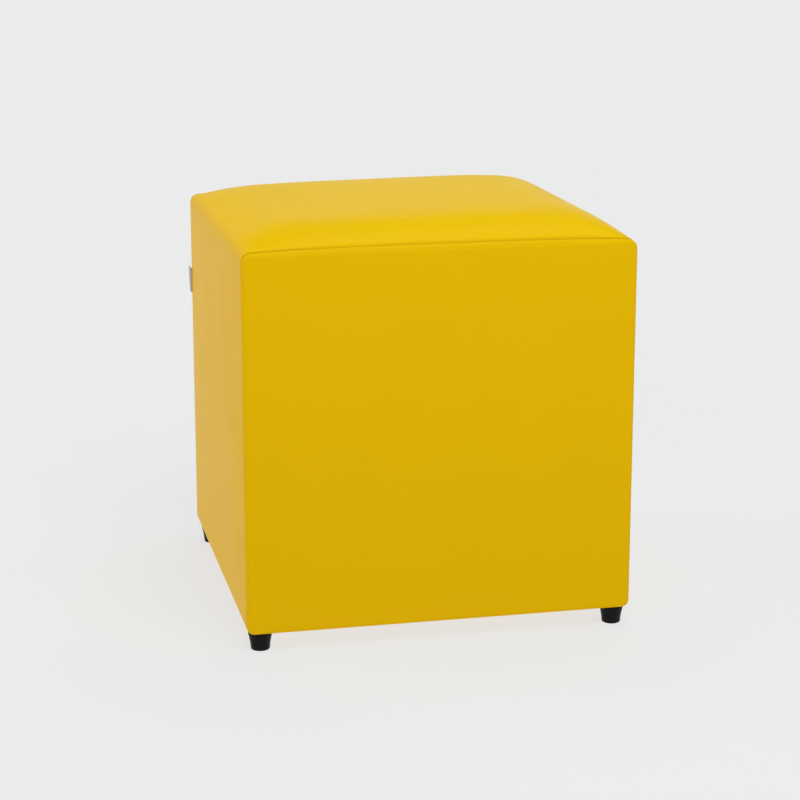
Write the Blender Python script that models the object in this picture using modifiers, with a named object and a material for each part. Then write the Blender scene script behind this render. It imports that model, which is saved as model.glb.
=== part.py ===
"""Cube pouf stool: a filled cube covered in smooth yellow coated cloth, on four small black feet.

The cover is cut in three. One strip runs up the left side, over the crowned top and down the right
side, and is one solid with the filling under it. A padded front panel and a padded back panel are
sewn to the strip's two open edges, where both sides roll into a sunk seam. A blank folded label is
caught in the rear left seam. The feet are conical plastic glides under the four corners.

Metres, +Z up, floor at z = 0. The front panel faces -Y and the label is at the rear left.
The origin is the middle of the whole footprint, label included.
"""
import math

import bmesh
import bpy
from mathutils import Vector

# Body, without its pillowing: the height runs from the underside to the top corners.
BODY_WIDTH = 0.400
BODY_DEPTH = 0.400
BODY_HEIGHT = 0.3868
TOP_CORNER_RADIUS = 0.008
BASE_CORNER_RADIUS = 0.006
CORNER_STEPS = 4
SIDE_SWELL = 0.003
PANEL_SWELL = 0.0015

# Panels and the sunk seams that join them to the strip. Along the top, the folded edge of the cloth
# lies under the panel's roll and makes it a taller and flatter band than on the other three edges.
PANEL_THICKNESS = 0.0055
PANEL_ROLL = 0.004
PANEL_ROLL_STEPS = 4
TOP_BAND_DROP = 0.0036
TOP_BAND_FLATNESS = 0.5
SEAM_ROLL = 0.0012
SEAM_ROLL_STEPS = 2
SEAM_ARCH = 0.003
SEAM_ARCH_POWER = 3.0
GAP = 0.0003

# Crown of the top: the rise over the seams, its lean to the right, and how it falls to the edges.
CROWN_RISE = 0.0182
CROWN_LEAN = 0.174
SIDE_FALL = {"power": 10.4, "sharpness": 1.82}
SEAM_FALL = {"power": 6.08, "sharpness": 0.8}

# Where the grid lines of the solids lie, as fractions of half a side.
CROWN_LINES = (0.0, 0.25, 0.45, 0.62, 0.75, 0.85, 0.91, 0.955)
NEAR_SEAM_LINES = (0.975,)
PANEL_LINES = (0.0, 0.3, 0.55, 0.75, 0.9)
HEIGHT_LINES = (0.0, 0.35, 0.65, 0.88)

# Feet: conical plastic glides, with the distance of their centres from the body's faces.
FOOT_HEIGHT = 0.019
FOOT_TOP_RADIUS = 0.0124
FOOT_BOTTOM_RADIUS = 0.0097
FOOT_RIM = 0.0015
FOOT_SIDES = 32
FOOT_INSET_SIDE = 0.015
FOOT_INSET_FRONT = 0.015
FOOT_INSET_BACK = 0.025

# Label: one folded strip, root in the rear left seam, bent back past the rear corner.
LABEL_THICKNESS = 0.0012
LABEL_HEIGHT = 0.0275
LABEL_RUN = 0.014
LABEL_BEND_RADIUS = 0.002
LABEL_ROOT_GAP = 0.0002
LABEL_BASE = 0.2935
LABEL_LEAN_BOTTOM = -0.11
LABEL_LEAN_TOP = -0.03
LABEL_BEND_STEPS = 5
LABEL_RUN_STEPS = 4
LABEL_HEIGHT_STEPS = 4

SEAM_Y = BODY_DEPTH / 2 - PANEL_THICKNESS
STRIP_HALF_DEPTH = SEAM_Y - GAP / 2


def clear_scene():
    for obj in list(bpy.data.objects):
        bpy.data.objects.remove(obj, do_unlink=True)


def make_material(name, color, roughness):
    material = bpy.data.materials.new(name)
    material.use_nodes = True
    shader = material.node_tree.nodes["Principled BSDF"]
    shader.inputs["Base Color"].default_value = (*color, 1.0)
    shader.inputs["Roughness"].default_value = roughness
    shader.inputs["Metallic"].default_value = 0.0
    material.diffuse_color = (*color, 1.0)
    return material


def add_object(bm, name, material, group, carrier):
    """Turn a finished bmesh into a named object of the pouf."""
    bmesh.ops.recalc_face_normals(bm, faces=bm.faces)
    mesh = bpy.data.meshes.new(name)
    bm.to_mesh(mesh)
    bm.free()
    mesh.materials.append(material)
    mesh.shade_smooth()
    mesh.set_sharp_from_angle(angle=math.radians(50))
    obj = bpy.data.objects.new(name, mesh)
    group.objects.link(obj)
    obj.parent = carrier
    return obj


def bevel_edges(bm, edges, radius, steps):
    bmesh.ops.bevel(
        bm, geom=edges, offset=radius, offset_type="OFFSET", affect="EDGES",
        segments=steps, profile=0.5, material=-1,
    )


def cut_across(bm, axis, half_size, middle, fractions):
    """Cut grid lines across the solid on both sides of its middle."""
    normal = Vector((0.0, 0.0, 0.0))
    normal[axis] = 1.0
    for fraction in fractions:
        for side in ((0,) if fraction == 0.0 else (-1, 1)):
            place = Vector((0.0, 0.0, 0.0))
            place[axis] = middle + side * fraction * half_size
            geometry = bm.verts[:] + bm.edges[:] + bm.faces[:]
            bmesh.ops.bisect_plane(bm, geom=geometry, dist=1e-6, plane_co=place, plane_no=normal)


def rounded_block(y_low, y_high):
    """Block of the body's section between two depths, its four edges along Y rounded."""
    bm = bmesh.new()
    bmesh.ops.create_cube(bm, size=1.0)
    depth = y_high - y_low
    bmesh.ops.scale(bm, vec=(BODY_WIDTH, depth, BODY_HEIGHT), verts=bm.verts)
    middle = Vector((0.0, (y_low + y_high) / 2, FOOT_HEIGHT + BODY_HEIGHT / 2))
    bmesh.ops.translate(bm, vec=middle, verts=bm.verts)
    along = [edge for edge in bm.edges if abs(edge.verts[0].co.y - edge.verts[1].co.y) > depth / 2]
    top_edges = [edge for edge in along if edge.verts[0].co.z > middle.z]
    base_edges = [edge for edge in along if edge.verts[0].co.z < middle.z]
    bevel_edges(bm, top_edges, TOP_CORNER_RADIUS, CORNER_STEPS)
    bevel_edges(bm, base_edges, BASE_CORNER_RADIUS, CORNER_STEPS)
    return bm


def roll_rim(bm, y_face, radius, steps):
    """Round the outline of the flat face at y_face."""
    rim = []
    for edge in bm.edges:
        on_face = all(abs(vert.co.y - y_face) < 1e-6 for vert in edge.verts)
        side_faces = [face for face in edge.link_faces if abs(face.normal.y) < 0.5]
        if on_face and side_faces:
            rim.append(edge)
    bevel_edges(bm, rim, radius, steps)


def seam_arch(x):
    """Height that the top seams gain between the corners."""
    across = min(1.0, abs(x) / (BODY_WIDTH / 2))
    return SEAM_ARCH * (1.0 - across ** SEAM_ARCH_POWER)


def fall(place, half_size, shape):
    """One in the middle of the top and nought at its edge."""
    across = min(1.0, abs(place) / half_size)
    return (1.0 - across ** shape["power"]) ** shape["sharpness"]


def crown(x, y):
    """Rise of the filled top above the outline of its seams."""
    level = 1.0 + CROWN_LEAN * x / (BODY_WIDTH / 2)
    over_sides = fall(x, BODY_WIDTH / 2, SIDE_FALL)
    over_seams = fall(y, STRIP_HALF_DEPTH, SEAM_FALL)
    return CROWN_RISE * level * over_sides * over_seams


def pillow(across, up):
    """Share of the swell at a place on a side or panel, given from -1 to 1 both ways."""
    return max(0.0, 1.0 - across * across) * max(0.0, 1.0 - up * up)


def height_share(z):
    """Place over the body's height, from -1 at the underside to 1 at the top corners."""
    return 2.0 * (z - FOOT_HEIGHT) / BODY_HEIGHT - 1.0


def make_strip(material, group, carrier):
    """Filled cube under the strip of cover: left side, crowned top and right side."""
    bm = rounded_block(-STRIP_HALF_DEPTH, STRIP_HALF_DEPTH)
    middle_z = FOOT_HEIGHT + BODY_HEIGHT / 2
    cut_across(bm, 0, BODY_WIDTH / 2, 0.0, CROWN_LINES)
    cut_across(bm, 1, STRIP_HALF_DEPTH, 0.0, CROWN_LINES + NEAR_SEAM_LINES)
    cut_across(bm, 2, BODY_HEIGHT / 2, middle_z, HEIGHT_LINES)
    roll_rim(bm, -STRIP_HALF_DEPTH, SEAM_ROLL, SEAM_ROLL_STEPS)
    roll_rim(bm, STRIP_HALF_DEPTH, SEAM_ROLL, SEAM_ROLL_STEPS)
    for vert in bm.verts:
        x, y, z = vert.co
        if z > middle_z:
            share = min(1.0, height_share(z)) ** 8
            vert.co.z += share * (seam_arch(x) + crown(x, y))
        side_swell = SIDE_SWELL * pillow(y / STRIP_HALF_DEPTH, height_share(z))
        vert.co.x += math.copysign(side_swell, x) * (abs(x) / (BODY_WIDTH / 2)) ** 8
    return add_object(bm, "cover_strip", material, group, carrier)


def top_band_move(x, depth, z, facing):
    """Move of a point that turns the round top roll of a panel into its taller, flatter band."""
    down = (FOOT_HEIGHT + BODY_HEIGHT - z) / PANEL_ROLL
    inward = (BODY_DEPTH / 2 - depth) / PANEL_ROLL
    if down > 1.0 + GAP or inward > 1.0 - GAP:
        return Vector((0.0, 0.0, 0.0))
    middle_share = seam_arch(x) / SEAM_ARCH
    flatten = TOP_BAND_FLATNESS * middle_share * max(0.0, 1.0 - down - inward) * PANEL_ROLL / 2
    drop = TOP_BAND_DROP * middle_share * down
    return Vector((0.0, -facing * flatten, -flatten - drop))


def make_panel(name, facing, material, group, carrier):
    """Padded panel on the open front (facing -1) or back (facing 1) of the strip."""
    seam_face = facing * (SEAM_Y + GAP / 2)
    outer_face = facing * BODY_DEPTH / 2
    bm = rounded_block(min(seam_face, outer_face), max(seam_face, outer_face))
    middle_z = FOOT_HEIGHT + BODY_HEIGHT / 2
    cut_across(bm, 0, BODY_WIDTH / 2, 0.0, PANEL_LINES)
    cut_across(bm, 2, BODY_HEIGHT / 2, middle_z, PANEL_LINES)
    roll_rim(bm, outer_face, PANEL_ROLL, PANEL_ROLL_STEPS)
    roll_rim(bm, seam_face, SEAM_ROLL, SEAM_ROLL_STEPS)
    for vert in bm.verts:
        x, y, z = vert.co
        share = height_share(z)
        vert.co += top_band_move(x, facing * y, z, facing)
        if z > middle_z:
            vert.co.z += share ** 8 * seam_arch(x)
        if abs(y) > BODY_DEPTH / 2 - GAP:
            vert.co.y += facing * PANEL_SWELL * pillow(x / (BODY_WIDTH / 2), share)
    return add_object(bm, name, material, group, carrier)


def make_foot(name, place, material, group, carrier):
    """Conical plastic glide: a profile from the axis, down the outer side and back, turned."""
    top = FOOT_HEIGHT - GAP
    profile = [
        (0.0, top),
        (FOOT_TOP_RADIUS, top),
        (FOOT_TOP_RADIUS, top - FOOT_RIM),
        (FOOT_BOTTOM_RADIUS, FOOT_RIM),
        (FOOT_BOTTOM_RADIUS - FOOT_RIM, 0.0),
        (0.0, 0.0),
    ]
    bm = bmesh.new()
    points = [bm.verts.new((radius, 0.0, z)) for radius, z in profile]
    for upper, lower in zip(points, points[1:]):
        bm.edges.new((upper, lower))
    foot = add_object(bm, name, material, group, carrier)
    foot.location = (*place, 0.0)
    turn = foot.modifiers.new("turned", "SCREW")
    turn.axis = "Z"
    turn.angle = 2.0 * math.pi
    turn.steps = FOOT_SIDES
    turn.render_steps = FOOT_SIDES
    turn.use_merge_vertices = True
    turn.merge_threshold = 0.00001
    turn.use_smooth_shade = True
    return foot


def label_point(along, up):
    """Point of the label's middle surface: along from the seam outwards, up from its lower edge."""
    root = Vector((-BODY_WIDTH / 2 - LABEL_ROOT_GAP, SEAM_Y, LABEL_BASE + up))
    bend = LABEL_BEND_RADIUS * math.pi / 2
    angle = min(along, bend) / LABEL_BEND_RADIUS
    lean = LABEL_LEAN_BOTTOM + (LABEL_LEAN_TOP - LABEL_LEAN_BOTTOM) * up / LABEL_HEIGHT
    straight = max(0.0, along - bend)
    out = LABEL_BEND_RADIUS * math.sin(angle) + straight * math.sin(lean)
    back = LABEL_BEND_RADIUS * (1.0 - math.cos(angle)) + straight * math.cos(lean)
    return root + Vector((-out, back, 0.0))


def make_label(material, group, carrier):
    """Blank folded label, as one sheet of two layers, rooted in the rear left seam."""
    bend = LABEL_BEND_RADIUS * math.pi / 2
    stops = [bend * step / LABEL_BEND_STEPS for step in range(LABEL_BEND_STEPS)]
    stops += [bend + LABEL_RUN * step / LABEL_RUN_STEPS for step in range(LABEL_RUN_STEPS + 1)]
    bm = bmesh.new()
    bmesh.ops.create_grid(bm, x_segments=len(stops) - 1, y_segments=LABEL_HEIGHT_STEPS, size=0.5)
    for vert in bm.verts:
        column = round((vert.co.x + 0.5) * (len(stops) - 1))
        up = (vert.co.y + 0.5) * LABEL_HEIGHT
        vert.co = label_point(stops[column], up)
    label = add_object(bm, "side_label", material, group, carrier)
    shell = label.modifiers.new("two layers", "SOLIDIFY")
    shell.thickness = LABEL_THICKNESS
    shell.offset = 0.0
    return label


def centre_footprint(parts, carrier):
    """Move the carrier so that the footprint of all parts is centred on the origin."""
    bpy.context.view_layer.update()
    depsgraph = bpy.context.evaluated_depsgraph_get()
    places = []
    for part in parts:
        evaluated = part.evaluated_get(depsgraph)
        places += [evaluated.matrix_world @ vert.co for vert in evaluated.data.vertices]
    for axis in (0, 1):
        values = [place[axis] for place in places]
        carrier.location[axis] -= (min(values) + max(values)) / 2


def build():
    clear_scene()
    group = bpy.data.collections.new("cube_pouf")
    bpy.context.scene.collection.children.link(group)
    carrier = bpy.data.objects.new("pouf_carrier", None)
    group.objects.link(carrier)

    cover = make_material("yellow_coated_cloth", (0.70, 0.42, 0.008), 0.38)
    plastic = make_material("black_plastic", (0.012, 0.012, 0.013), 0.45)
    ribbon = make_material("grey_ribbon", (0.48, 0.42, 0.38), 0.8)

    parts = [make_strip(cover, group, carrier)]
    parts.append(make_panel("front_panel", -1, cover, group, carrier))
    parts.append(make_panel("back_panel", 1, cover, group, carrier))
    side = BODY_WIDTH / 2 - FOOT_INSET_SIDE
    rows = {"front": FOOT_INSET_FRONT - BODY_DEPTH / 2, "back": BODY_DEPTH / 2 - FOOT_INSET_BACK}
    for row, y in rows.items():
        for hand, x in (("left", -side), ("right", side)):
            parts.append(make_foot(f"foot_{row}_{hand}", (x, y), plastic, group, carrier))
    parts.append(make_label(ribbon, group, carrier))
    centre_footprint(parts, carrier)


build()
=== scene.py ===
"""Looks of a cube pouf: smooth yellow coated cloth over a padded cube, on four black plastic feet.

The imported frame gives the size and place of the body, its seams, the feet and the label.
Metres, +Z up, floor at z = 0, front towards -Y, label at the rear left.
"""
import math

import bmesh
import bpy
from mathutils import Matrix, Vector, noise


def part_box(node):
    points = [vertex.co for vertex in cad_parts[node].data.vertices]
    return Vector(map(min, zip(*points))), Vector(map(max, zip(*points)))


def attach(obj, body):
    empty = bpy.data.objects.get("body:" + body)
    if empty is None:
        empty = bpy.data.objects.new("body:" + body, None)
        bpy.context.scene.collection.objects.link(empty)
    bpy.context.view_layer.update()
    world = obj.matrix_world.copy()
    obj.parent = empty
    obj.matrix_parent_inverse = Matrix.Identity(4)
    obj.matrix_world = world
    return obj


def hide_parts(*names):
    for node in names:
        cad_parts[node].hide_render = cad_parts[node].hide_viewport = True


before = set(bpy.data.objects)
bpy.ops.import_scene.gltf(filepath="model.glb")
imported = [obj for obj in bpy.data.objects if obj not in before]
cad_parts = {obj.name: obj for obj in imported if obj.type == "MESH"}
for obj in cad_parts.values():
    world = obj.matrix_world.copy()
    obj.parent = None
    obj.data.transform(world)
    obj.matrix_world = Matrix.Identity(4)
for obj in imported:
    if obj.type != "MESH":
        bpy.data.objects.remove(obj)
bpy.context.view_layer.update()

# Cover strip: one length of coated cloth up the left side, over the crowned top and down the right
# side, drawn tight over foam. Its two open edges are sewn to the panels and roll into the seams. It
# starts a little low, is filled by a cloth simulation, and then gets its rolled edges.
SIDE_SWELL = 0.003
SEAM_GAP = 0.0003
SEAM_ARCH = 0.003
strip_low, strip_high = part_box("cover_strip")
front_low, front_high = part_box("front_panel")
back_low, back_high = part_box("back_panel")
MIDDLE_X = (strip_low.x + strip_high.x) / 2
MIDDLE_Y = (front_low.y + back_high.y) / 2
HALF_WIDTH = (strip_high.x - strip_low.x) / 2 - SIDE_SWELL
HALF_STRIP = (strip_high.y - strip_low.y) / 2
BASE_Z = strip_low.z
CORNER_Z = front_high.z - SEAM_ARCH
HALF_HEIGHT = (CORNER_Z - BASE_Z) / 2
MIDDLE_Z = BASE_Z + HALF_HEIGHT

TOLERANCE = 1e-6
LINE_BUNCHING = 1.35
TOP_CORNER_RADIUS = 0.009
BASE_CORNER_RADIUS = 0.0075
CORNER_STEPS = 6


def bunched_lines(count, last):
    """Fractions of half a side from its middle to last, closer together towards the edge."""
    return [last * (1.0 - (1.0 - step / count) ** LINE_BUNCHING) for step in range(count + 1)]


def cut_across(bm, axis, middle, half_size, fractions):
    """Cut grid lines across the block on both sides of its middle."""
    normal = Vector((0.0, 0.0, 0.0))
    normal[axis] = 1.0
    for fraction in fractions:
        for side in ((0,) if fraction == 0.0 else (-1, 1)):
            place = Vector((0.0, 0.0, 0.0))
            place[axis] = middle + side * fraction * half_size
            everything = bm.verts[:] + bm.edges[:] + bm.faces[:]
            bmesh.ops.bisect_plane(
                bm, geom=everything, dist=TOLERANCE, plane_co=place, plane_no=normal,
            )


def round_edges(bm, edges, radius, steps):
    bmesh.ops.bevel(
        bm, geom=edges, offset=radius, offset_type="OFFSET", affect="EDGES",
        segments=steps, profile=0.5, material=-1,
    )


def body_block(y_low, y_high, x_lines, z_lines, y_lines=()):
    """Block of the body's section between two depths, its four edges along Y rounded, in a grid."""
    bm = bmesh.new()
    bmesh.ops.create_cube(bm, size=2.0)
    half = (y_high - y_low) / 2
    middle = Vector((MIDDLE_X, (y_low + y_high) / 2, MIDDLE_Z))
    bmesh.ops.scale(bm, vec=(HALF_WIDTH, half, HALF_HEIGHT), verts=bm.verts)
    bmesh.ops.translate(bm, vec=middle, verts=bm.verts)
    along = [edge for edge in bm.edges if abs(edge.verts[0].co.y - edge.verts[1].co.y) > half]
    top_edges = [edge for edge in along if edge.verts[0].co.z > MIDDLE_Z]
    base_edges = [edge for edge in along if edge.verts[0].co.z < MIDDLE_Z]
    round_edges(bm, top_edges, TOP_CORNER_RADIUS, CORNER_STEPS)
    round_edges(bm, base_edges, BASE_CORNER_RADIUS, CORNER_STEPS)
    cut_across(bm, 0, MIDDLE_X, HALF_WIDTH, x_lines)
    cut_across(bm, 1, middle.y, half, y_lines)
    cut_across(bm, 2, MIDDLE_Z, HALF_HEIGHT, z_lines)
    return bm


def rim_edges(bm, y_face):
    """Edges round the flat face at y_face, where it meets the faces that run along the depth."""
    rim = []
    for edge in bm.edges:
        on_face = all(abs(vert.co.y - y_face) < TOLERANCE for vert in edge.verts)
        if on_face and any(abs(face.normal.y) < 0.5 for face in edge.link_faces):
            rim.append(edge)
    return rim


SEAM_ARCH_POWER = 3.0
CROWN_RISE = 0.0186
CROWN_LEAN = 0.174
SIDE_FALL = {"power": 10.4, "sharpness": 1.55}
SEAM_FALL = {"power": 6.08, "sharpness": 0.8}
TOP_SHARE_POWER = 8


def seam_arch(x):
    """Height that the top seams gain between the corners."""
    across = min(1.0, abs(x - MIDDLE_X) / HALF_WIDTH)
    return SEAM_ARCH * (1.0 - across ** SEAM_ARCH_POWER)


def fall(across, shape):
    """One in the middle of the top and nought at its edge."""
    return (1.0 - min(1.0, abs(across)) ** shape["power"]) ** shape["sharpness"]


def crown(x, y):
    """Rise of the filled top above the outline of its seams, a little higher to the right."""
    across = (x - MIDDLE_X) / HALF_WIDTH
    level = CROWN_RISE * (1.0 + CROWN_LEAN * across)
    return level * fall(across, SIDE_FALL) * fall((y - MIDDLE_Y) / HALF_STRIP, SEAM_FALL)


def height_share(z):
    """Place over the body's height, from -1 at the underside to 1 at the top corners."""
    return (z - MIDDLE_Z) / HALF_HEIGHT


def top_share(z):
    """Nought at half height and one at the top, nearly all of it close to the top."""
    return min(1.0, max(0.0, height_share(z))) ** TOP_SHARE_POWER


def pillow(across, up):
    """Share of the swell at a place on a side or panel, given from -1 to 1 both ways."""
    return max(0.0, 1.0 - across * across) * max(0.0, 1.0 - up * up)


def finished_piece(bm, name):
    """Turn a bmesh into a named object with its faces outwards and smooth."""
    bmesh.ops.recalc_face_normals(bm, faces=bm.faces)
    mesh = bpy.data.meshes.new(name)
    bm.to_mesh(mesh)
    bm.free()
    mesh.shade_smooth()
    piece = bpy.data.objects.new(name, mesh)
    bpy.context.scene.collection.objects.link(piece)
    return piece


def subdivided(piece):
    """One live subdivision, the same in view and render."""
    smooth = piece.modifiers.new("smooth cloth", "SUBSURF")
    smooth.levels = 1
    smooth.render_levels = 1


FILLING_FRAMES = 20
FOAM_PRESSURE = 4.0
CLOTH_QUALITY = 5
CLOTH_MASS = 0.3
CLOTH_STRETCH = 15.0
CLOTH_SHEAR = 5.0
CLOTH_BENDING = 0.5


def fill_with_foam(bm, is_sewn, allowance):
    """Simulate the cloth under pressure from inside.

    Sewn points are held, and no other point moves further than its allowance.
    """
    piece = finished_piece(bm, "filling")
    points = piece.data.vertices
    held = piece.vertex_groups.new(name="sewn")
    held.add([point.index for point in points if is_sewn(point.co)], 1.0, "REPLACE")
    cloth = piece.modifiers.new("cloth", "CLOTH")
    cloth.settings.quality = CLOTH_QUALITY
    cloth.settings.mass = CLOTH_MASS
    cloth.settings.tension_stiffness = CLOTH_STRETCH
    cloth.settings.compression_stiffness = CLOTH_STRETCH
    cloth.settings.shear_stiffness = CLOTH_SHEAR
    cloth.settings.bending_stiffness = CLOTH_BENDING
    cloth.settings.vertex_group_mass = held.name
    cloth.settings.use_pressure = True
    cloth.settings.uniform_pressure_force = FOAM_PRESSURE
    cloth.settings.effector_weights.gravity = 0.0
    cloth.collision_settings.use_collision = False
    cloth.point_cache.frame_start = 1
    cloth.point_cache.frame_end = FILLING_FRAMES
    for number in range(1, FILLING_FRAMES + 1):
        bpy.context.scene.frame_set(number)
    filled = piece.evaluated_get(bpy.context.evaluated_depsgraph_get()).data
    moves = [there.co - here.co for here, there in zip(points, filled.vertices)]
    piece.modifiers.remove(cloth)
    bpy.context.scene.frame_set(1)
    for point, move in zip(points, moves):
        reach = allowance(point.co)
        if move.length > reach:
            move *= reach / move.length
        point.co += move
    settled = bmesh.new()
    settled.from_mesh(piece.data)
    bpy.data.objects.remove(piece, do_unlink=True)
    return settled


UNEVENNESS = 0.0005
UNEVENNESS_SIZE = 0.085


def make_uneven(bm, share):
    """Shift points a little in or out, as cloth lies over foam. The share fades it out at seams."""
    bm.normal_update()
    for vert in bm.verts:
        shift = UNEVENNESS * noise.noise(vert.co / UNEVENNESS_SIZE) * share(vert.co)
        vert.co += vert.normal * shift


CROWN_BEFORE_FILLING = 0.98
SEAM_FADE_POWER = 4
BASE_FADE = 3.0


def strip_is_sewn(place):
    """Held points: those at the two seams and on the underside."""
    return abs(place.y - MIDDLE_Y) > HALF_STRIP - SEAM_GAP or place.z < BASE_Z + BASE_CORNER_RADIUS


def strip_allowance(place):
    across_y = (place.y - MIDDLE_Y) / HALF_STRIP
    if place.z > CORNER_Z - TOP_CORNER_RADIUS:
        return (1.0 - CROWN_BEFORE_FILLING) * crown(place.x, place.y)
    return SIDE_SWELL * pillow(across_y, height_share(place.z))


def strip_evenness(place):
    """Share of the unevenness, which fades out towards the seams and the underside."""
    across_y = (place.y - MIDDLE_Y) / HALF_STRIP
    above_base = min(1.0, max(0.0, 1.0 + height_share(place.z)) * BASE_FADE)
    return max(0.0, 1.0 - across_y ** SEAM_FADE_POWER) * above_base


STRIP_LINES = 22
LAST_LINE = 0.955
LAST_LINE_BY_SEAM = 0.988
SEAM_ROLL = 0.0012
SEAM_ROLL_STEPS = 4

height_and_width_lines = bunched_lines(STRIP_LINES, LAST_LINE)
depth_lines = bunched_lines(STRIP_LINES, LAST_LINE_BY_SEAM)
strip = body_block(
    MIDDLE_Y - HALF_STRIP, MIDDLE_Y + HALF_STRIP,
    height_and_width_lines, height_and_width_lines, depth_lines,
)
for vert in strip.verts:
    x, y, z = vert.co
    vert.co.z += top_share(z) * (seam_arch(x) + CROWN_BEFORE_FILLING * crown(x, y))
strip = fill_with_foam(strip, strip_is_sewn, strip_allowance)
make_uneven(strip, strip_evenness)
for side in (-1, 1):
    round_edges(strip, rim_edges(strip, MIDDLE_Y + side * HALF_STRIP), SEAM_ROLL, SEAM_ROLL_STEPS)
cover_strip = finished_piece(strip, "strip_cover")
subdivided(cover_strip)
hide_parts("cover_strip")
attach(cover_strip, "root")


# Coated cloth of the cover: a smooth yellow coating on a knitted back, embossed with a fine pebble
# grain. It is a little uneven in tone and gloss, and puckered a little by the stitches along the
# seams.
# Painted shade darkens it in the seams and on the rolled edges beside them, most of all at their ends.
COATING = {"IOR": 1.45, "Specular IOR Level": 0.01}
COVER_YELLOW = (0.86, 0.504, 0.002, 1.0)
# Colour of the painted shade in the seam grooves and on the rolls beside them.
COVER_SHADED = (0.50, 0.26, 0.001, 1.0)
COVER_ROUGHNESS = 0.26
MOTTLE = {"size": 0.07, "tone": 0.06, "roughness": 0.08}
PEBBLES = {"size": 0.0012, "softness": 0.6, "wander_size": 0.004, "tone": 0.03}
FINE_GRAIN = {"size": 0.0004, "share": 0.3}
GRAIN_RELIEF = {"height": 0.00006, "strength": 0.35}
SEAM_SHADE = {"width": 0.0036, "tone": 0.9, "roughness": 0.15, "along": 0.2, "end_power": 6.0}
PUCKERS = {"pitch": 0.0045, "width": 0.010, "height": 0.00010, "strength": 0.6}


class Wire:
    """An output of a material's nodes. Sums on it add Math nodes, and node() adds any other kind."""

    def __init__(self, tree, socket=None):
        self.tree = tree
        self.socket = socket

    def node(self, kind, settings, inputs, output=0):
        """Add a node: first its settings, then a value or a wire for each of its named inputs."""
        made = self.tree.nodes.new("ShaderNode" + kind)
        for name, value in settings.items():
            setattr(made, name, value)
        for name, value in inputs.items():
            if isinstance(value, Wire):
                self.tree.links.new(value.socket, made.inputs[name])
            else:
                made.inputs[name].default_value = value
        return Wire(self.tree, made.outputs[output])

    def math(self, operation, *others):
        """Math node with this output as its first value."""
        return self.node("Math", {"operation": operation}, dict(enumerate((self, *others))))

    def __add__(self, other):
        return self.math("ADD", other)

    def __sub__(self, other):
        return self.math("SUBTRACT", other)

    def __rsub__(self, other):
        return self * -1.0 + other

    def __mul__(self, other):
        return self.math("MULTIPLY", other)

    def __truediv__(self, other):
        return self.math("DIVIDE", other)

    def __rtruediv__(self, other):
        return self.math("POWER", -1.0) * other

    __radd__ = __add__
    __rmul__ = __mul__

    def step(self, low, high):
        """Smooth rise from 0 at low to 1 at high."""
        values = {"Value": self, "From Min": low, "From Max": high}
        return self.node("MapRange", {"interpolation_type": "SMOOTHSTEP"}, values)

    def blend(self, first, second):
        """Color first where this is 0 and second where it is 1, by a Mix node's color sockets."""
        settings = {"data_type": "RGBA"}
        return self.node("Mix", settings, {0: self, 6: first, 7: second}, output=2)

    def feed(self, shader, name):
        """Link this output to a named input of the shader."""
        self.tree.links.new(self.socket, shader.inputs[name])


def new_finish(name, shader_values):
    """New material: returns it, its shader, and a wire with the place on the piece."""
    material = bpy.data.materials.new(name)
    material.use_nodes = True
    shader = material.node_tree.nodes["Principled BSDF"]
    for socket, value in shader_values.items():
        shader.inputs[socket].default_value = value
    place = Wire(material.node_tree).node("TexCoord", {}, {}, output="Object")
    return material, shader, place


def pebble_relief(place):
    """Embossed pebbles with a finer grain between them. Returns the pebbles and the bump of both."""
    wander = place.node(
        "TexNoise", {}, {"Vector": place, "Scale": 1.0 / PEBBLES["wander_size"], "Detail": 1.0},
    )
    shifted = place.node(
        "VectorMath", {"operation": "MULTIPLY_ADD"}, {0: wander, 1: (PEBBLES["size"],) * 3, 2: place},
    )
    pebbles = place.node(
        "TexVoronoi", {"feature": "SMOOTH_F1"},
        {"Vector": shifted, "Scale": 1.0 / PEBBLES["size"], "Smoothness": PEBBLES["softness"]},
    )
    fine = place.node(
        "TexNoise", {}, {"Vector": place, "Scale": 1.0 / FINE_GRAIN["size"], "Detail": 1.0},
    )
    bump = place.node(
        "Bump", {},
        {
            "Height": FINE_GRAIN["share"] * fine - pebbles,
            "Strength": GRAIN_RELIEF["strength"], "Distance": GRAIN_RELIEF["height"],
        },
    )
    return pebbles, bump


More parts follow.
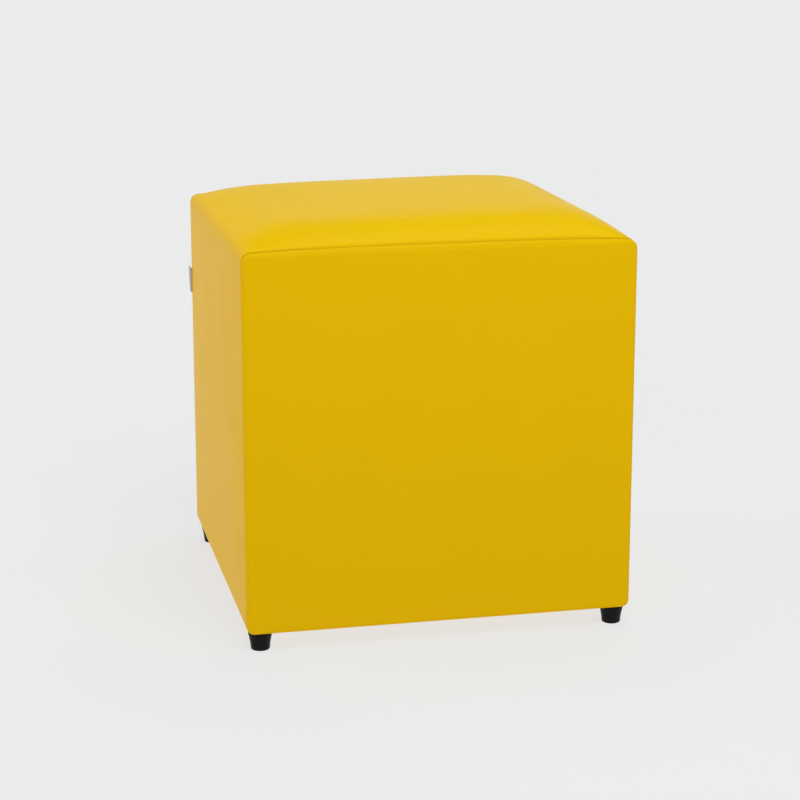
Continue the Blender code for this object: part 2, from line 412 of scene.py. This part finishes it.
def coated_cloth():
    cloth, shader, place = new_finish("yellow_coated_cloth", COATING)
    mottle = place.node("TexNoise", {}, {"Vector": place, "Scale": 1.0 / MOTTLE["size"]})
    pebbles, grain = pebble_relief(place)
    across = place.node("SeparateXYZ", {}, {"Vector": place}, output="X")
    depth = place.node("SeparateXYZ", {}, {"Vector": place}, output="Y")
    height = place.node("SeparateXYZ", {}, {"Vector": place}, output="Z")
    from_seam = ((depth - MIDDLE_Y).math("ABSOLUTE") - HALF_STRIP).math("ABSOLUTE")
    from_middle = (across - MIDDLE_X).math("ABSOLUTE") / HALF_WIDTH
    near_side = from_middle.math("POWER", SEAM_SHADE["end_power"])
    near_top = height.step(CORNER_Z - TOP_CORNER_RADIUS, CORNER_Z)
    # Painted shade in the seams: full at the ends of the top seams, a fifth as strong everywhere else.
    depth_of_shade = near_side * near_top * (1.0 - SEAM_SHADE["along"]) + SEAM_SHADE["along"]
    shade = (1.0 - from_seam.step(0.0, SEAM_SHADE["width"])) * depth_of_shade
    stitches = place.node(
        "TexNoise", {}, {"Vector": place, "Scale": 1.0 / PUCKERS["pitch"], "Detail": 0.0},
    )
    puckers = place.node(
        "Bump", {},
        {
            "Height": stitches * (1.0 - from_seam.step(0.0, PUCKERS["width"])),
            "Strength": PUCKERS["strength"], "Distance": PUCKERS["height"], "Normal": grain,
        },
    )
    puckers.feed(shader, "Normal")
    tone = (mottle - 0.5) * MOTTLE["tone"] + shade * SEAM_SHADE["tone"] + pebbles * PEBBLES["tone"]
    tone.blend(COVER_YELLOW, COVER_SHADED).feed(shader, "Base Color")
    roughness = COVER_ROUGHNESS + mottle * MOTTLE["roughness"] + shade * SEAM_SHADE["roughness"]
    roughness.feed(shader, "Roughness")
    return cloth


cover_finish = coated_cloth()
cover_strip.data.materials.append(cover_finish)


# Front and back panels: squares of the same cloth over thin foam on the cube's open sides. All
# round, the edge rolls back into the seam, and along the top the roll is fuller in the middle.
PANEL_SWELL = 0.0015
PANEL_ROLL = 0.004
PANEL_ROLL_STEPS = 6
PANEL_LINES = 20
TOP_BAND_DROP = 0.0036
TOP_BAND_FLATNESS = 0.5
HALF_DEPTH = (back_high.y - front_low.y) / 2 - PANEL_SWELL


def panel_allowance(place):
    across = (place.x - MIDDLE_X) / HALF_WIDTH
    return PANEL_SWELL * pillow(across, height_share(place.z))


def top_band_move(place, facing):
    """Move of a point that turns the round top roll of a panel into its taller, flatter band."""
    down = (CORNER_Z - place.z) / PANEL_ROLL
    inward = (HALF_DEPTH - facing * (place.y - MIDDLE_Y)) / PANEL_ROLL
    if down > 1.0 + SEAM_GAP or inward > 1.0 - SEAM_GAP:
        return Vector((0.0, 0.0, 0.0))
    middle_share = seam_arch(place.x) / SEAM_ARCH
    flatten = TOP_BAND_FLATNESS * middle_share * max(0.0, 1.0 - down - inward) * PANEL_ROLL / 2
    drop = TOP_BAND_DROP * middle_share * down
    return Vector((0.0, -facing * flatten, -flatten - drop))


def make_panel(name, node, facing):
    """Padded panel on the front (facing -1) or the back (facing 1)."""
    low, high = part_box(node)
    seam_face = high.y if facing < 0 else low.y
    outer_face = MIDDLE_Y + facing * HALF_DEPTH
    lines = bunched_lines(PANEL_LINES, LAST_LINE)
    bm = body_block(min(seam_face, outer_face), max(seam_face, outer_face), lines, lines)
    round_edges(bm, rim_edges(bm, outer_face), PANEL_ROLL, PANEL_ROLL_STEPS)

    def is_sewn(place):
        return abs(place.y - outer_face) > SEAM_GAP

    def evenness(place):
        on_face = facing * (place.y - outer_face) > -SEAM_GAP
        return panel_allowance(place) / PANEL_SWELL if on_face else 0.0

    bm = fill_with_foam(bm, is_sewn, panel_allowance)
    make_uneven(bm, evenness)
    round_edges(bm, rim_edges(bm, seam_face), SEAM_ROLL, SEAM_ROLL_STEPS)
    for vert in bm.verts:
        rise = top_share(vert.co.z) * seam_arch(vert.co.x)
        vert.co += top_band_move(vert.co, facing)
        vert.co.z += rise
    panel = finished_piece(bm, name)
    panel.data.materials.append(cover_finish)
    subdivided(panel)
    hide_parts(node)
    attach(panel, "root")


make_panel("front_cover", "front_panel", -1)
make_panel("back_cover", "back_panel", 1)


# Feet: four conical glides of black moulded plastic, a little scuffed where they meet the floor.
# Each has a thin collar at the top, and a nail or screw that doesn't show holds it to the base.
PLASTIC = {"IOR": 1.46, "Specular IOR Level": 0.12}
PLASTIC_BLACK = (0.005, 0.005, 0.0055, 1.0)
PLASTIC_WORN = (0.02, 0.0195, 0.019, 1.0)
PLASTIC_ROUGHNESS = 0.36
PLASTIC_GRAIN = {"size": 0.0004, "height": 0.00005, "strength": 0.25}
SCUFFS = {"per_metre": 180.0, "from": 0.45, "full": 0.65, "roughness": 0.12}
WORN_EDGE = {"height": 0.004, "roughness": 0.2}


def black_plastic():
    plastic, shader, place = new_finish("black_plastic", PLASTIC)
    grain = place.node(
        "TexNoise", {}, {"Vector": place, "Scale": 1.0 / PLASTIC_GRAIN["size"], "Detail": 2.0},
    )
    scuffs = place.node("TexNoise", {}, {"Vector": place, "Scale": SCUFFS["per_metre"], "Detail": 4.0})
    height = place.node("SeparateXYZ", {}, {"Vector": place}, output="Z")
    low_down = 1.0 - height.step(0.0, WORN_EDGE["height"])
    worn = low_down * scuffs.step(SCUFFS["from"], SCUFFS["full"])
    relief = {
        "Height": grain, "Strength": PLASTIC_GRAIN["strength"], "Distance": PLASTIC_GRAIN["height"],
    }
    place.node("Bump", {}, relief).feed(shader, "Normal")
    worn.blend(PLASTIC_BLACK, PLASTIC_WORN).feed(shader, "Base Color")
    roughness = PLASTIC_ROUGHNESS + scuffs * SCUFFS["roughness"] + worn * WORN_EDGE["roughness"]
    roughness.feed(shader, "Roughness")
    return plastic


plastic_finish = black_plastic()

FOOT_BOTTOM_RADIUS = 0.0097
FOOT_COLLAR = 0.0015
FOOT_FLARE = 1.5
FOOT_FLARE_STEPS = 8
FOOT_EDGE_RADIUS = 0.0014
FOOT_EDGE_STEPS = 5
FOOT_SIDES = 64
FOOT_SHARP_ANGLE = math.radians(50)


def quarter_round(radius_out, z_out, radius, first, last):
    """Points of a rounded edge of a profile, by its centre and the angles where it starts and ends."""
    points = []
    for step in range(FOOT_EDGE_STEPS + 1):
        angle = math.radians(first + (last - first) * step / FOOT_EDGE_STEPS)
        points.append((radius_out + radius * math.cos(angle), z_out + radius * math.sin(angle)))
    return points


def make_foot(name, node):
    """Turned cone with a rounded lower edge, which flares a little up to its collar."""
    low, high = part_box(node)
    axis = Vector(((low.x + high.x) / 2, (low.y + high.y) / 2, low.z))
    top_radius = (high.x - low.x) / 2
    edge = FOOT_EDGE_RADIUS
    profile = [(0.0, 0.0)]
    profile += quarter_round(FOOT_BOTTOM_RADIUS - edge, edge, edge, -90.0, 0.0)
    collar_z = high.z - low.z - FOOT_COLLAR
    for step in range(1, FOOT_FLARE_STEPS + 1):
        share = step / FOOT_FLARE_STEPS
        radius = FOOT_BOTTOM_RADIUS + (top_radius - FOOT_BOTTOM_RADIUS) * share ** FOOT_FLARE
        profile.append((radius, edge + (collar_z - edge) * share))
    rim = FOOT_COLLAR / 3
    profile += quarter_round(top_radius - rim, high.z - low.z - rim, rim, 0.0, 90.0)
    profile.append((0.0, high.z - low.z))
    bm = bmesh.new()
    points = [bm.verts.new(axis + Vector((radius, 0.0, z))) for radius, z in profile]
    edges = [bm.edges.new(pair) for pair in zip(points, points[1:])]
    bmesh.ops.spin(
        bm, geom=points + edges, cent=axis, axis=(0.0, 0.0, 1.0), dvec=(0.0, 0.0, 0.0),
        angle=2.0 * math.pi, steps=FOOT_SIDES, use_merge=True, use_duplicate=False,
    )
    bmesh.ops.remove_doubles(bm, verts=bm.verts, dist=TOLERANCE)
    foot = finished_piece(bm, name)
    foot.data.set_sharp_from_angle(angle=FOOT_SHARP_ANGLE)
    foot.data.materials.append(plastic_finish)
    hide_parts(node)
    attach(foot, "root")


for row in ("front", "back"):
    for hand in ("left", "right"):
        make_foot(f"{row}_{hand}_glide", f"foot_{row}_{hand}")


# Label: a short length of grey ribbon, folded in two and caught by its ends in the rear left seam.
# It is blank. It bends round the rear corner and leans in a little behind the back.
RIBBON = {"Roughness": 0.75, "Sheen Weight": 0.2}
RIBBON_DARK = (0.44, 0.36, 0.31, 1.0)
RIBBON_LIGHT = (0.56, 0.47, 0.41, 1.0)
WEAVE = {"thread": 0.0004, "height": 0.00008, "strength": 0.5}


def grey_ribbon():
    ribbon, shader, place = new_finish("grey_ribbon", RIBBON)
    woven = place.node("UVMap", {"uv_map": "ribbon"}, {})
    across = place.node("SeparateXYZ", {}, {"Vector": woven}, output="X")
    along = place.node("SeparateXYZ", {}, {"Vector": woven}, output="Y")
    warp = (across * (2.0 * math.pi / WEAVE["thread"])).math("SINE")
    weft = (along * (2.0 * math.pi / WEAVE["thread"])).math("SINE")
    weave = 0.5 + 0.5 * (warp * weft)
    relief = {"Height": weave, "Strength": WEAVE["strength"], "Distance": WEAVE["height"]}
    place.node("Bump", {}, relief).feed(shader, "Normal")
    weave.blend(RIBBON_DARK, RIBBON_LIGHT).feed(shader, "Base Color")
    return ribbon


LABEL_LAYER = 0.00035
LABEL_LAYER_GAP = 0.0003
LABEL_HEIGHT = 0.0275
LABEL_RUN = 0.014
LABEL_BEND_RADIUS = 0.002
LABEL_ROOT_DEPTH = 0.0002
LABEL_LEAN_BOTTOM = -0.11
LABEL_LEAN_TOP = -0.03
LABEL_ROWS = 24
LABEL_COLUMNS = 64
LABEL_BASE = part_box("side_label")[0].z
SEAM_Y = (strip_high.y + back_low.y) / 2


def label_line(along, lean):
    """Point and outward direction of the label's middle line, along from its root in the seam."""
    bend = LABEL_BEND_RADIUS * math.pi / 2
    angle = min(along, bend) / LABEL_BEND_RADIUS
    straight = max(0.0, along - bend)
    out = LABEL_BEND_RADIUS * math.sin(angle) + straight * math.sin(lean)
    back = LABEL_BEND_RADIUS * (1.0 - math.cos(angle)) + straight * math.cos(lean)
    facing = math.pi / 2 - angle + (lean if along > bend else 0.0)
    return Vector((-out, back, 0.0)), Vector((-math.cos(facing), -math.sin(facing), 0.0))


def make_label():
    """Ribbon from the seam to the fold and back, its two layers a little apart."""
    root = Vector((MIDDLE_X - HALF_WIDTH + LABEL_ROOT_DEPTH, SEAM_Y, LABEL_BASE))
    length = LABEL_BEND_RADIUS * math.pi / 2 + LABEL_RUN
    half_gap = (LABEL_LAYER + LABEL_LAYER_GAP) / 2
    bm = bmesh.new()
    uv = bm.loops.layers.uv.new("ribbon")
    bmesh.ops.create_grid(bm, x_segments=LABEL_COLUMNS, y_segments=LABEL_ROWS, size=0.5)
    for face in bm.faces:
        for corner in face.loops:
            flat = corner.vert.co
            corner[uv].uv = (flat.x * 2.0 * length, flat.y * LABEL_HEIGHT)
    for vert in bm.verts:
        outer = 1.0 if vert.co.x < 0.0 else -1.0
        along = max(0.0, length - length * abs(2.0 * vert.co.x))
        up = (vert.co.y + 0.5) * LABEL_HEIGHT
        lean = LABEL_LEAN_BOTTOM + (LABEL_LEAN_TOP - LABEL_LEAN_BOTTOM) * up / LABEL_HEIGHT
        near_fold = min(1.0, (length - along) / half_gap)
        apart = half_gap * math.sqrt(1.0 - (1.0 - near_fold) ** 2)
        point, facing = label_line(along, lean)
        vert.co = root + point + facing * apart * outer + Vector((0.0, 0.0, up))
    label = finished_piece(bm, "folded_label")
    layers = label.modifiers.new("ribbon thickness", "SOLIDIFY")
    layers.thickness = LABEL_LAYER
    layers.offset = 0.0
    label.data.materials.append(grey_ribbon())
    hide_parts("side_label")
    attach(label, "root")


make_label()


# Floor and studio: a pale seamless floor that glows a little, so that it meets the pale walls
# without a line and keeps only a faint shadow, under a dark ceiling and three large softboxes.
FLOOR_RADIUS = 14.0
FLOOR_SIDES = 96
FLOOR_FINISH = {
    "Base Color": (0.15, 0.15, 0.15, 1.0), "Roughness": 1.0,
    "Specular IOR Level": 0.0, "Emission Strength": 1.0,
}
LIT_RADIUS = 2.77
GLOW_LIT = (0.698, 0.698, 0.698, 1.0)
GLOW_FAR = (0.813, 0.813, 0.813, 1.0)


def pale_floor():
    """Round floor, whose glow grows outwards as the light of the softboxes fades."""
    floor_mesh = bmesh.new()
    bmesh.ops.create_circle(floor_mesh, cap_ends=True, segments=FLOOR_SIDES, radius=FLOOR_RADIUS)
    floor = finished_piece(floor_mesh, "floor")
    material, shader, place = new_finish("pale_floor", FLOOR_FINISH)
    from_middle = place.node("VectorMath", {"operation": "LENGTH"}, {0: place}, output="Value")
    away = from_middle / LIT_RADIUS
    spread = away * away + 1.0
    (1.0 / (spread * spread)).blend(GLOW_FAR, GLOW_LIT).feed(shader, "Emission Color")
    floor.data.materials.append(material)


pale_floor()

WALL_TOP = math.sin(math.radians(15))
WALL_FADE = 0.03
WALL_PALE = (0.831, 0.831, 0.831, 1.0)
CEILING = (0.10, 0.10, 0.10, 1.0)


def studio_walls():
    """Pale walls all round, as high as the floor's glow reaches, under a dark ceiling."""
    walls = bpy.data.worlds.new("studio_walls")
    walls.use_nodes = True
    direction = Wire(walls.node_tree).node("TexCoord", {}, {}, output="Generated")
    height = direction.node("SeparateXYZ", {}, {"Vector": direction}, output="Z")
    ceiling = height.step(WALL_TOP - WALL_FADE, WALL_TOP + WALL_FADE)
    background = walls.node_tree.nodes["Background"]
    ceiling.blend(WALL_PALE, CEILING).feed(background, "Color")
    bpy.context.scene.world = walls


studio_walls()

SOFTBOX_SIZE = 1.4
SOFTBOX_TARGET = Vector((0.0, 0.0, 0.25))
SOFTBOXES = {
    "top_softbox": {"place": (0.4, 0.6, 2.2), "power": 17.6, "color": (0.85, 1.0, 0.97)},
    "front_softbox": {"place": (0.14, -1.35, 2.4), "power": 36.5, "color": (0.92, 0.99, 0.98)},
    "left_softbox": {"place": (-2.6, 0.8, 1.15), "power": 19.6, "color": (1.0, 1.0, 1.0)},
}


def softbox(name, place, power, color):
    """Large square area light, turned to the middle of the pouf."""
    light = bpy.data.lights.new(name, "AREA")
    light.shape = "SQUARE"
    light.size = SOFTBOX_SIZE
    light.energy = power
    light.color = color
    lamp = bpy.data.objects.new(name, light)
    lamp.location = place
    lamp.rotation_euler = (SOFTBOX_TARGET - Vector(place)).to_track_quat("-Z", "Y").to_euler()
    lamp.visible_camera = False
    bpy.context.scene.collection.objects.link(lamp)


for name, values in SOFTBOXES.items():
    softbox(name, **values)
bpy.context.scene.view_settings.view_transform = "Standard"


# Camera: to the left of the front and a little above the top, as in the photograph, with a long
# lens. A small shift brings its uprights nearer to parallel.
CAMERA_PLACE = Vector((-0.4890, -2.2117, 0.7733))
CAMERA_TURN = math.radians(12.5)
CAMERA_TILT = math.radians(13.1)
CAMERA_LENS = 96.4
CAMERA_SENSOR = 36.0
CAMERA_SHIFT = -0.05

camera_data = bpy.data.cameras.new("photo camera")
camera_data.sensor_width = CAMERA_SENSOR
camera_data.lens = CAMERA_LENS
camera_data.shift_y = CAMERA_SHIFT
camera = bpy.data.objects.new("photo camera", camera_data)
camera.location = CAMERA_PLACE
camera.rotation_euler = (math.pi / 2 - CAMERA_TILT, 0.0, -CAMERA_TURN)
bpy.context.scene.collection.objects.link(camera)
bpy.context.scene.camera = camera
